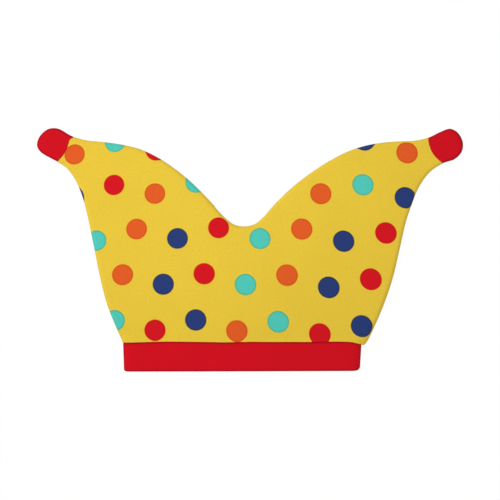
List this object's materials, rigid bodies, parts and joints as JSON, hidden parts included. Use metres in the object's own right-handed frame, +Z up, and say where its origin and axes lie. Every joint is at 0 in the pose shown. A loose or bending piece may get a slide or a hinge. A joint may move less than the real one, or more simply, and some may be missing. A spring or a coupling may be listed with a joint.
{
  "type": "jester hat",
  "caption": "Soft jester hat with curved horns, rounded caps at their ends and a folded band, laid flat on its back panel.",
  "frame": {"origin": "on the table, under the middle of the hat's box as it lies flat on its back panel", "axes": "+X across the hat, to the right as the front is seen; +Y from the rim towards the horns; +Z up, out of the front panel"},
  "size_m": [0.4504, 0.2576, 0.0221],
  "materials": {
    "dotted_jersey": "matt printed cotton jersey",
    "red_jersey": "matt cotton jersey",
    "red_band": "matt cotton jersey, folded double"
  },
  "bodies": {
    "root": {"front_panel_left": "dotted_jersey", "front_panel_right": "dotted_jersey", "back_panel_left": "dotted_jersey", "back_panel_right": "dotted_jersey", "left_cap_front": "red_jersey", "left_cap_back": "red_jersey", "right_cap_front": "red_jersey", "right_cap_back": "red_jersey", "band": "red_band"}
  },
  "joints": []
}
